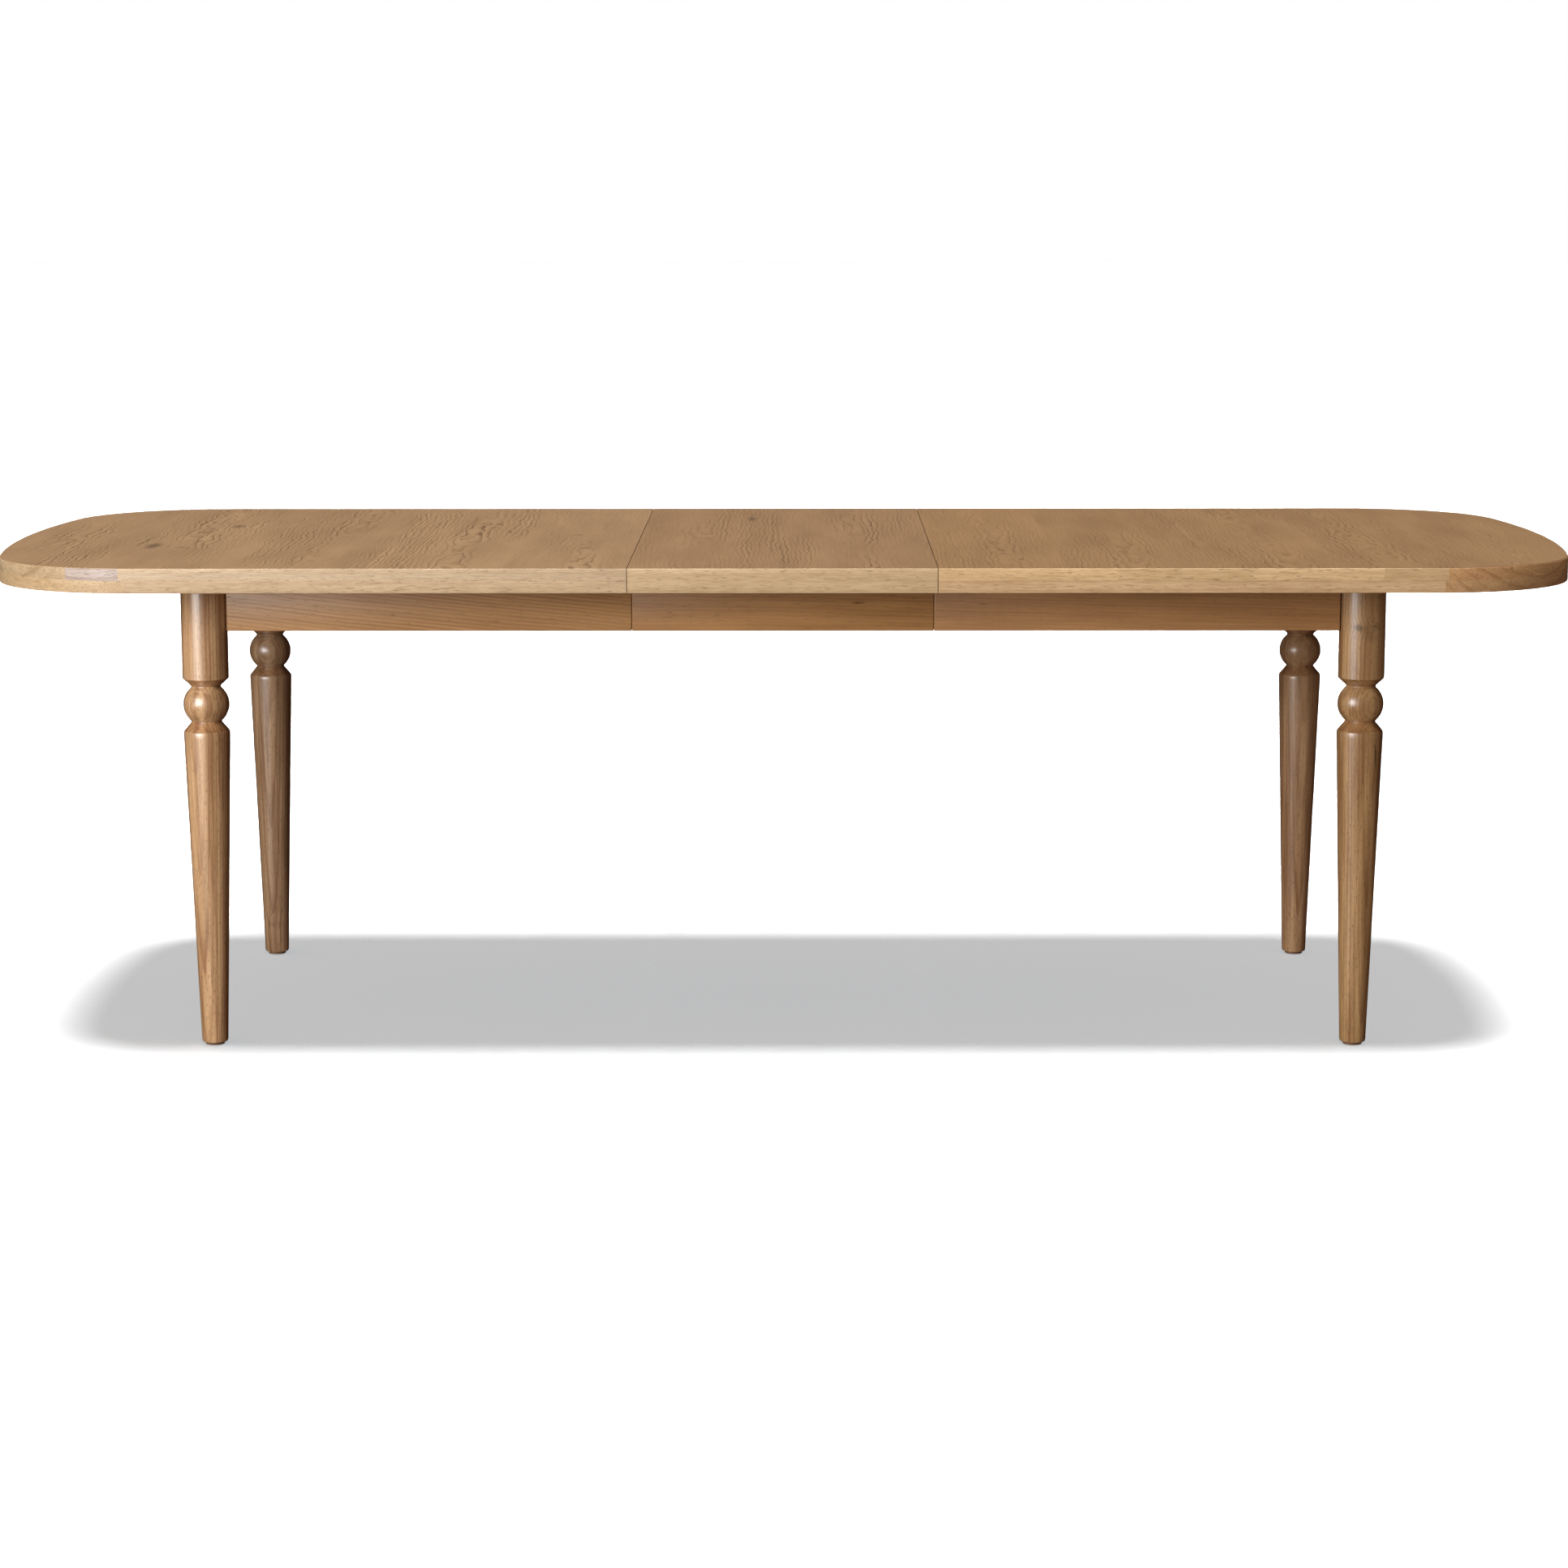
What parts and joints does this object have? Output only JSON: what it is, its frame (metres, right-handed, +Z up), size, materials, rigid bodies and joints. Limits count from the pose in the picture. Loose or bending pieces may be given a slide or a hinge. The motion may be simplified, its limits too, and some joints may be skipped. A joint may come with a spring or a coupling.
{
  "type": "extendable dining table",
  "caption": "Wooden dining table with rounded corners and bowed ends on turned tapered legs, extended on wooden slides with its drop-in leaf in place.",
  "frame": {"origin": "centre of the table's footprint, on the floor under its glides", "axes": "+X along the table's length to the right, +Y to the rear, +Z up; the front long side faces -Y"},
  "size_m": [2.436, 1.016, 0.755],
  "materials": {
    "top_veneer": "satin lacquered oak-like veneer, grain running front to back",
    "edge_band": "satin, lighter golden edge strips with lengthwise grain",
    "apron_wood": "satin brown, lengthwise grain",
    "leg_wood": "satin golden brown, upright grain",
    "slide_wood": "plain waxed hardwood",
    "zinc_steel": "zinc plated",
    "white_nylon": "moulded nylon",
    "dark_nylon": "moulded nylon"
  },
  "bodies": {
    "centre": {"bridge_board": "slide_wood", "front_centre_beam": "slide_wood", "pinion_axle": "zinc_steel", "pinion_clip": "zinc_steel", "rear_centre_beam": "slide_wood"},
    "left_half": {"left_end_rail": "apron_wood", "left_front_corner_block": "slide_wood", "left_front_glide": "dark_nylon", "left_front_hanger_bolt": "zinc_steel", "left_front_latch_plate": "zinc_steel", "left_front_leg": "leg_wood", "left_front_rail": "apron_wood", "left_front_slide": "slide_wood", "left_pin_1": "slide_wood", "left_pin_2": "slide_wood", "left_rack": "white_nylon", "left_rear_corner_block": "slide_wood", "left_rear_glide": "dark_nylon", "left_rear_hanger_bolt": "zinc_steel", "left_rear_latch_plate": "zinc_steel", "left_rear_leg": "leg_wood", "left_rear_rail": "apron_wood", "left_rear_slide": "slide_wood", "left_top_core": "edge_band", "left_top_panel": "top_veneer"},
    "right_half": {"right_end_rail": "apron_wood", "right_front_corner_block": "slide_wood", "right_front_glide": "dark_nylon", "right_front_hanger_bolt": "zinc_steel", "right_front_keeper": "zinc_steel", "right_front_leg": "leg_wood", "right_front_rail": "apron_wood", "right_front_slide": "slide_wood", "right_pin_1": "slide_wood", "right_pin_2": "slide_wood", "right_rack": "white_nylon", "right_rear_corner_block": "slide_wood", "right_rear_glide": "dark_nylon", "right_rear_hanger_bolt": "zinc_steel", "right_rear_keeper": "zinc_steel", "right_rear_leg": "leg_wood", "right_rear_rail": "apron_wood", "right_rear_slide": "slide_wood", "right_top_core": "edge_band", "right_top_panel": "top_veneer"},
    "leaf": {"leaf_front_cleat": "slide_wood", "leaf_front_keeper": "zinc_steel", "leaf_front_latch_plate": "zinc_steel", "leaf_front_rail": "apron_wood", "leaf_rear_cleat": "slide_wood", "leaf_rear_keeper": "zinc_steel", "leaf_rear_latch_plate": "zinc_steel", "leaf_rear_rail": "apron_wood", "leaf_top_core": "edge_band", "leaf_top_panel": "top_veneer"},
    "pinion": {"equalizer_pinion": "white_nylon"},
    "left_front_latch": {"left_front_latch_lever": "zinc_steel"},
    "left_rear_latch": {"left_rear_latch_lever": "zinc_steel"},
    "leaf_front_latch": {"leaf_front_latch_lever": "zinc_steel"},
    "leaf_rear_latch": {"leaf_rear_latch_lever": "zinc_steel"}
  },
  "joints": [
    {"name": "left_slide", "type": "slide", "parent": "centre", "child": "left_half", "axis": [-1, 0, 0], "range_m": [0, 0.04]},
    {"name": "right_slide", "type": "slide", "parent": "centre", "child": "right_half", "axis": [1, 0, 0], "range_m": [0, 0.04]},
    {"name": "pinion_spin", "type": "hinge", "parent": "centre", "child": "pinion", "pos_m": [0, 0, 0.709], "axis": [0, 0, 1], "range_deg": [0, 109.5]},
    {"name": "leaf_lift", "type": "slide", "parent": "centre", "child": "leaf", "axis": [0, 0, 1], "range_m": [0, 0.4]},
    {"name": "left_front_latch_turn", "type": "hinge", "parent": "left_half", "child": "left_front_latch", "pos_m": [-0.255, -0.12, 0.7135], "axis": [0, 0, 1], "range_deg": [0, 90]},
    {"name": "left_rear_latch_turn", "type": "hinge", "parent": "left_half", "child": "left_rear_latch", "pos_m": [-0.255, 0.12, 0.7135], "axis": [0, 0, -1], "range_deg": [0, 90]},
    {"name": "leaf_front_latch_turn", "type": "hinge", "parent": "leaf", "child": "leaf_front_latch", "pos_m": [0.203, -0.12, 0.7135], "axis": [0, 0, 1], "range_deg": [0, 90]},
    {"name": "leaf_rear_latch_turn", "type": "hinge", "parent": "leaf", "child": "leaf_rear_latch", "pos_m": [0.203, 0.12, 0.7135], "axis": [0, 0, -1], "range_deg": [0, 90]}
  ],
  "couplings": [
    {"joint": "right_slide", "follows": "left_slide", "ratio": 1},
    {"joint": "pinion_spin", "follows": "left_slide", "rad_per_m": 47.619}
  ]
}
